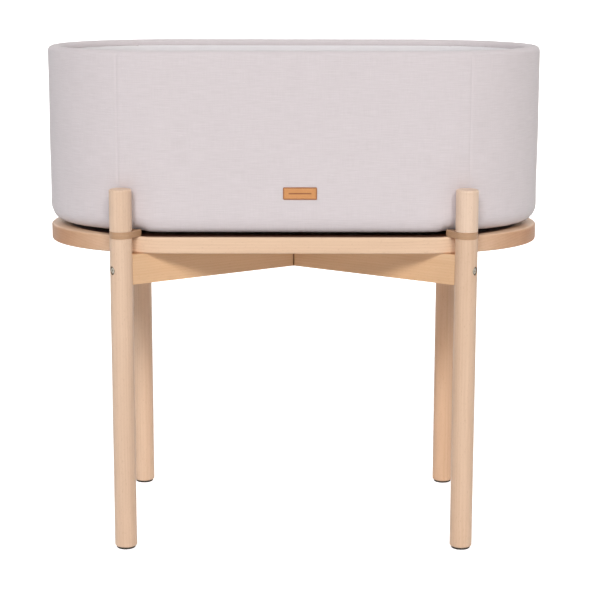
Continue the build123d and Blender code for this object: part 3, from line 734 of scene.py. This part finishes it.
def leather_tag(leather, thread):
    """The stitched leather tag: a rounded rectangle carried inward, with a pressed border and rule.

    Its height over the cloth follows the inset: a rounded edge, a groove under the stitches, and
    a gently crowned middle. A plain rule is pressed in along the middle line.
    """
    thick = tag_high.y - tag_low.y
    ring = rounded_rectangle(TAG_HALF_X, TAG_HALF_Z, TAG_CORNER, 320)
    edge = 0.7 * MM
    turn = arc(0, 90, 6)
    level = np.linspace(1.0 * MM, TAG_HALF_Z, 40)
    inset = np.concatenate([[TAG_HALF_Z, 0.0], edge * (1 - np.cos(turn)), level])
    face = np.concatenate([[0.0, 0.0], thick - edge + edge * np.sin(turn), np.full(level.size, thick)])
    shrink = (TAG_HALF_Z - inset) / TAG_HALF_Z
    spine_end = TAG_HALF_X - TAG_HALF_Z
    spine = np.clip(ring[:, 0], -spine_end, spine_end)
    x = spine[None, :] + (ring[:, 0] - spine)[None, :] * shrink[:, None]
    z = ring[:, 1][None, :] * shrink[:, None]
    depth = np.broadcast_to(face[:, None], x.shape).copy()
    border = bell(np.broadcast_to(inset[:, None], x.shape), TAG_BORDER, 0.6 * MM)
    rule = bell(z, 0, 0.7 * MM)
    rule = rule * (1 - smooth_step(np.abs(x), TAG_RULE_HALF, TAG_RULE_HALF + 1.5 * MM))
    depth -= (0.3 * MM * border + 0.35 * MM * rule) * (depth > 0.5 * thick)
    points = np.stack([tag_middle.x + x, tag_high.y - depth, tag_middle.z + z], axis=2)
    uv = np.stack([np.concatenate([x, x[:, :1]], axis=1), np.concatenate([z, z[:, :1]], axis=1)], axis=2)
    piece = grid_piece("leather_tag_face", points, uv)
    weld(piece, 0.01 * MM)
    finish_piece(piece, "basket", "tan_leather", leather, "leather_tag")
    spots = 58
    line = rounded_rectangle(TAG_HALF_X - TAG_BORDER, TAG_HALF_Z - TAG_BORDER, 1.2 * MM, spots)
    front = np.full(spots, tag_low.y + 0.15 * MM)
    places = np.stack([tag_middle.x + line[:, 0], front, tag_middle.z + line[:, 1]], axis=1)
    normals = np.tile([0.0, -1.0, 0.0], (spots, 1))
    stitch_run("tag_stitches", places, ahead_of(places), normals, 1.8 * MM, 0.28 * MM, "basket",
               "tan_leather", thread)


# ================================================================ mattress
def cloth_pad(name, outline_inset, low, high):
    """An oval pad that swells under cloth simulation, started a little smaller than its space."""
    places, outward, run = oval_ring(HALF_LENGTH, HALF_WIDTH, PAD_COLUMNS)
    turn = arc(0, 90, 6)
    radius = PAD_EDGE_R
    shy = SWELL_CAP
    start = outline_inset + shy
    flat = np.linspace(HALF_WIDTH, start + radius, 14)[:-1]
    bottom, top = low + shy, high - shy
    inset = np.concatenate([flat, start + radius * (1 - np.sin(turn)), start + radius * (1 - np.cos(turn)),
                            flat[::-1]])
    height = np.concatenate([np.full(flat.size, bottom), bottom + radius * (1 - np.cos(turn)),
                             top - radius * (1 - np.sin(turn)), np.full(flat.size, top)])
    points = carry(places, outward, inset[:, None] + 0 * run[:-1][None, :], height[:, None])
    uv = np.zeros((inset.size, places.shape[0] + 1, 2))
    piece = grid_piece(name, points, uv, flip=True)
    weld(piece)
    return piece


def apply_modifiers(piece):
    """Bakes a piece's modifiers into its mesh."""
    shown = piece.evaluated_get(bpy.context.evaluated_depsgraph_get())
    mesh = bpy.data.meshes.new_from_object(shown)
    piece.modifiers.clear()
    piece.data = mesh


def read_places(mesh):
    places = np.empty(len(mesh.vertices) * 3, np.float32)
    mesh.vertices.foreach_get("co", places)
    return places.reshape(-1, 3).astype(float)


def write_places(mesh, places):
    mesh.vertices.foreach_set("co", places.astype(np.float32).ravel())
    mesh.update()


def swell_by_simulation(piece, cap):
    """Remeshes evenly, lets air pressure fill the cloth for a number of frames, and caps the movement."""
    frames = 20
    remesh = piece.modifiers.new("even", "REMESH")
    remesh.mode = "VOXEL"
    remesh.voxel_size = 5.5 * MM
    apply_modifiers(piece)
    start = read_places(piece.data)
    sim = piece.modifiers.new("cloth", "CLOTH")
    sim.settings.use_pressure = True
    sim.settings.uniform_pressure_force = 4.0
    sim.settings.quality = 5
    sim.settings.effector_weights.gravity = 0
    sim.point_cache.frame_start = 1
    sim.point_cache.frame_end = frames
    scene = bpy.context.scene
    for step in range(1, frames + 1):
        scene.frame_set(step)
    apply_modifiers(piece)
    moved = read_places(piece.data) - start
    size = np.linalg.norm(moved, axis=1)[:, None]
    write_places(piece.data, start + moved * np.minimum(1, cap / np.maximum(size, 1e-9)))
    scene.frame_set(1)


def fill_space(places, low, high):
    """Stretches the pad's points along each axis so that its outline just fills the mattress space."""
    half_height = (high - low) / 2 - 0.3 * MM
    reach = np.array([HALF_LENGTH - MATTRESS_INSET, HALF_WIDTH - MATTRESS_INSET, half_height])
    middle = np.array([0, 0, (low + high) / 2])
    from_middle = places - middle
    return middle + from_middle * reach / np.abs(from_middle).max(axis=0)


def mattress(material, piping_material):
    """The quilted mattress, its two edge pipings, and shallow diamond channels sewn into both faces.

    Channels are bells across two sets of slanting lines, pressed in where the face is level. Each
    piping is half sunk in the pad's side at its own level.
    """
    low, high = mattress_low.z, mattress_high.z
    pad = cloth_pad("mattress_pad", MATTRESS_INSET, low, high)
    swell_by_simulation(pad, SWELL_CAP)
    finer = pad.modifiers.new("finer", "SUBSURF")
    finer.levels = finer.render_levels = 1
    apply_modifiers(pad)
    places = fill_space(read_places(pad.data), low, high)
    x, y, z = places.T
    middle = (low + high) / 2
    level = smooth_step(np.abs(z - middle), 0.55 * (high - middle), 0.85 * (high - middle))
    first, second = (np.abs((slant / CHANNEL_PITCH + 0.5) % 1 - 0.5) * CHANNEL_PITCH
                     for slant in (x + y, x - y))
    channel = np.maximum(bell(first, 0, CHANNEL_REACH), bell(second, 0, CHANNEL_REACH))
    places[:, 2] -= np.sign(z - middle) * level * channel * CHANNEL_DEPTH
    places[:, 2] = np.clip(places[:, 2], low + 0.2 * MM, high)
    write_places(pad.data, places)
    layer = pad.data.uv_layers.new(name="cloth")
    corner = np.empty(len(pad.data.loops), np.int32)
    pad.data.loops.foreach_get("vertex_index", corner)
    flat = np.stack([places[:, 0] + 0.3 * places[:, 2], places[:, 1] + 0.9 * places[:, 2]], axis=1)
    layer.data.foreach_set("uv", flat[corner].astype(np.float32).ravel())
    pad.data.shade_smooth()
    finish_piece(pad, "mattress", "mattress_cloth", material, "mattress_core", "mattress_cover")
    for name, level_z in (("mattress_piping_top", high - PAD_EDGE_R),
                          ("mattress_piping_bottom", low + PAD_EDGE_R)):
        at_level = (np.abs(z - level_z) < 2.5 * MM) & (np.abs(x) < 150 * MM)
        edge_piping(name, level_z, HALF_WIDTH - np.abs(y[at_level]).max() + 0.4 * MM, piping_material)


def edge_piping(name, level, centre_inset, material):
    """A round piping: a circle carried round the mattress outline, with a slow waver in height."""
    places, outward, run = oval_ring(HALF_LENGTH, HALF_WIDTH, PIPING_COLUMNS)
    sides = 12
    angle = np.linspace(0, 2 * math.pi, sides + 1)[:-1]
    s = run[:-1][None, :]
    waver = 0.4 * MM * np.sin(2 * math.pi * s / 0.23)
    inset = centre_inset - PIPING_R * np.cos(angle)[:, None] + 0 * s
    points = carry(places, outward, inset, level + PIPING_R * np.sin(angle)[:, None] + waver)
    rows = np.concatenate([points, points[:1]])
    around = np.linspace(0, 2 * math.pi * PIPING_R, sides + 1)
    piece = grid_piece(name, rows, cloth_map(run, around), flip=True)
    weld(piece)
    finish_piece(piece, "mattress", "mattress_cloth", material)


# ================================================================ wood, metal and pads
def dress_node(name, material):
    """Gives a CAD node its finish through its object's own material slots."""
    for slot in nodes[name].material_slots:
        slot.link = "OBJECT"
        slot.material = material


CORNERS = ("front_left", "front_right", "back_left", "back_right")
DIAGONAL_TURN = math.degrees(math.atan2(LEG_Y, LEG_X))


def dress_stand():
    """Beech with the grain along each piece, steel fittings and dark pads."""
    for order, corner in enumerate(CORNERS):
        upright = beech(f"beech upright {corner}", (0, 90, 0), LEG_TONES[corner],
                        shift=(0.37 * order, 0.02 * order, 0.015 * order))
        dress_node(f"leg_{corner}", upright)
        short = beech(f"beech peg {corner}", (0, 90, 0), PEG_TONES[corner],
                      shift=(0.9 + 0.21 * order, 0.03 * order, 0.01))
        dress_node(f"peg_{corner}", short)
        turn = DIAGONAL_TURN if corner in ("front_left", "back_right") else -DIAGONAL_TURN
        tongue = beech(f"beech bearer {corner}", (0, 0, -turn), DEEP, shift=(0.1 * order, 0, 0))
        dress_node(f"bearer_{corner}", tongue)
        dress_node(f"foot_pad_{corner}", PAD)
    dress_node("rail_rising", beech("beech rising rail", (0, 0, -DIAGONAL_TURN), WARM,
                                    shift=(0.2, 0, 0.03), darkening="crossing"))
    dress_node("rail_falling", beech("beech falling rail", (0, 0, DIAGONAL_TURN), WARM,
                                     shift=(0.5, 0.01, 0), darkening="crossing"))
    dress_node("deck", beech("beech deck", (0, 0, 0), HONEY, rings=0.2, shift=(0, 0.02, -0.4),
                             darkening="deck"))
    dress_node("alignment_dowels", beech("beech dowels", (0, 0, 0)))
    ply = beech("birch plywood", (0, 0, 0), ((0.78, 0.62, 0.43, 1), (0.66, 0.49, 0.31, 1)), flecks=0.1)
    dress_node("wall_shell", ply)
    dress_node("base_board", ply)
    for name in ("frame_bolts", "barrel_nuts", "peg_studs", "bearer_pins", "deck_screws", "shell_screws"):
        dress_node(name, STEEL)


# ================================================================ stage
FLOOR_GLOW = 0.64             # lifts the pale floor to near white in the picture only
ROOM_LIGHT = 0.22             # the room's light on the object; the room itself is seen white
EYE = (0, -3.3375, 1.0862)
EYE_PITCH = 0.195             # downwards, in radians
EYE_ROLL = (-0.0013, -0.0005)
LENS = 109.7


def floor_and_backdrop():
    """A pale floor that curves up into a backdrop: y and z follow a straight run and an arc."""
    half, near, reach, bend, wall = 30.0, 30.0, 3.6, 1.6, 6.0
    columns = 5
    turn = arc(0, 90, 20)
    y = np.concatenate([[-near, 0.0, reach], reach + bend * np.sin(turn[1:]), [reach + bend]])
    z = np.concatenate([[0.0, 0.0, 0.0], bend * (1 - np.cos(turn[1:])), [wall]])
    x = np.linspace(-half, half, columns)
    shape = (y.size, columns)
    points = np.stack([np.broadcast_to(v, shape) for v in (x[None, :], y[:, None], z[:, None])], axis=2)
    floor = grid_piece("floor", points, points[..., :2].copy(), wrap=False)
    material, tree, shader = new_material("pale floor")
    place = add(tree, "ShaderNodeTexCoord").outputs["Object"]
    tree.links.new(mix(tree, noise(tree, place, 0.7), (0.88, 0.88, 0.88, 1), (0.90, 0.90, 0.90, 1)),
                   shader.inputs["Base Color"])
    shader.inputs["Roughness"].default_value = 0.9
    shader.inputs["Specular IOR Level"].default_value = 0.1
    shader.inputs["Emission Color"].default_value = (1, 1, 1, 1)
    seen = add(tree, "ShaderNodeLightPath").outputs["Is Camera Ray"]
    tree.links.new(calc(tree, "MULTIPLY", seen, FLOOR_GLOW), shader.inputs["Emission Strength"])
    floor.data.materials.append(material)


def soft_sun(name, azimuth, elevation, strength, spread, colour=(1, 1, 1)):
    """A far softbox: azimuth from the front, to the right; angles in degrees."""
    light = bpy.data.lights.new(name, "SUN")
    light.energy = strength
    light.angle = math.radians(spread)
    light.color = colour
    lamp = new_object(name, light)
    lamp.rotation_euler = Euler((math.radians(90 - elevation), 0, math.radians(azimuth)))


def studio():
    floor_and_backdrop()
    soft_sun("left softbox", -15, 36, 1.37, 16, (0.94, 0.97, 1.0))
    soft_sun("right softbox", 17, 36, 1.13, 16, (1.0, 0.965, 0.90))
    soft_sun("back softbox", 165, 48, 0.55, 30)
    world = bpy.data.worlds.new("soft room")
    world.use_nodes = True
    tree = world.node_tree
    tree.nodes["Background"].inputs[0].default_value = (1, 1, 1, 1)
    seen = add(tree, "ShaderNodeLightPath").outputs["Is Camera Ray"]
    tree.links.new(calc(tree, "MULTIPLY_ADD", seen, 1 - ROOM_LIGHT, ROOM_LIGHT),
                   tree.nodes["Background"].inputs[1])
    bpy.context.scene.world = world


def camera():
    """A long lens in front of the bassinet, a little above the rim and pitched down."""
    eye = bpy.data.cameras.new("camera")
    eye.sensor_fit = "HORIZONTAL"
    eye.sensor_width = 36.0
    eye.lens = LENS
    stand = new_object("camera", eye)
    stand.location = EYE
    stand.rotation_euler = Euler((math.pi / 2 - EYE_PITCH, *EYE_ROLL))
    bpy.context.scene.camera = stand


# ================================================================ the whole object
camera()
studio()
bpy.context.scene.view_settings.view_transform = "Standard"
STEEL = zinc_steel()
PAD = glide_pad()
LINEN = cloth("grey linen", (0.71, 0.645, 0.665, 1), (0.56, 0.50, 0.512, 1), 0.95 * MM, 0.45, 0.08)
LINING = cloth("lining cotton", (0.83, 0.80, 0.82, 1), (0.70, 0.67, 0.685, 1), 0.6 * MM, 0.3, 0.15)
MATTRESS = cloth("mattress cotton", (0.88, 0.87, 0.85, 1), (0.74, 0.72, 0.70, 1), 0.7 * MM, 0.3, 0.2)
PIPING = cloth("piping cotton", (0.84, 0.82, 0.81, 1), (0.66, 0.63, 0.62, 1), 0.7 * MM, 0.3, 0.2)
THREAD = thread_material("grey thread", (0.74, 0.70, 0.70, 1))
TAG_THREAD = thread_material("brown thread", (0.50, 0.27, 0.14, 1))

dress_stand()
basket_cover(LINEN)
basket_lining(LINING)
rim_stitches(THREAD)
leather_tag(tan_leather(), TAG_THREAD)
mattress(MATTRESS, PIPING)
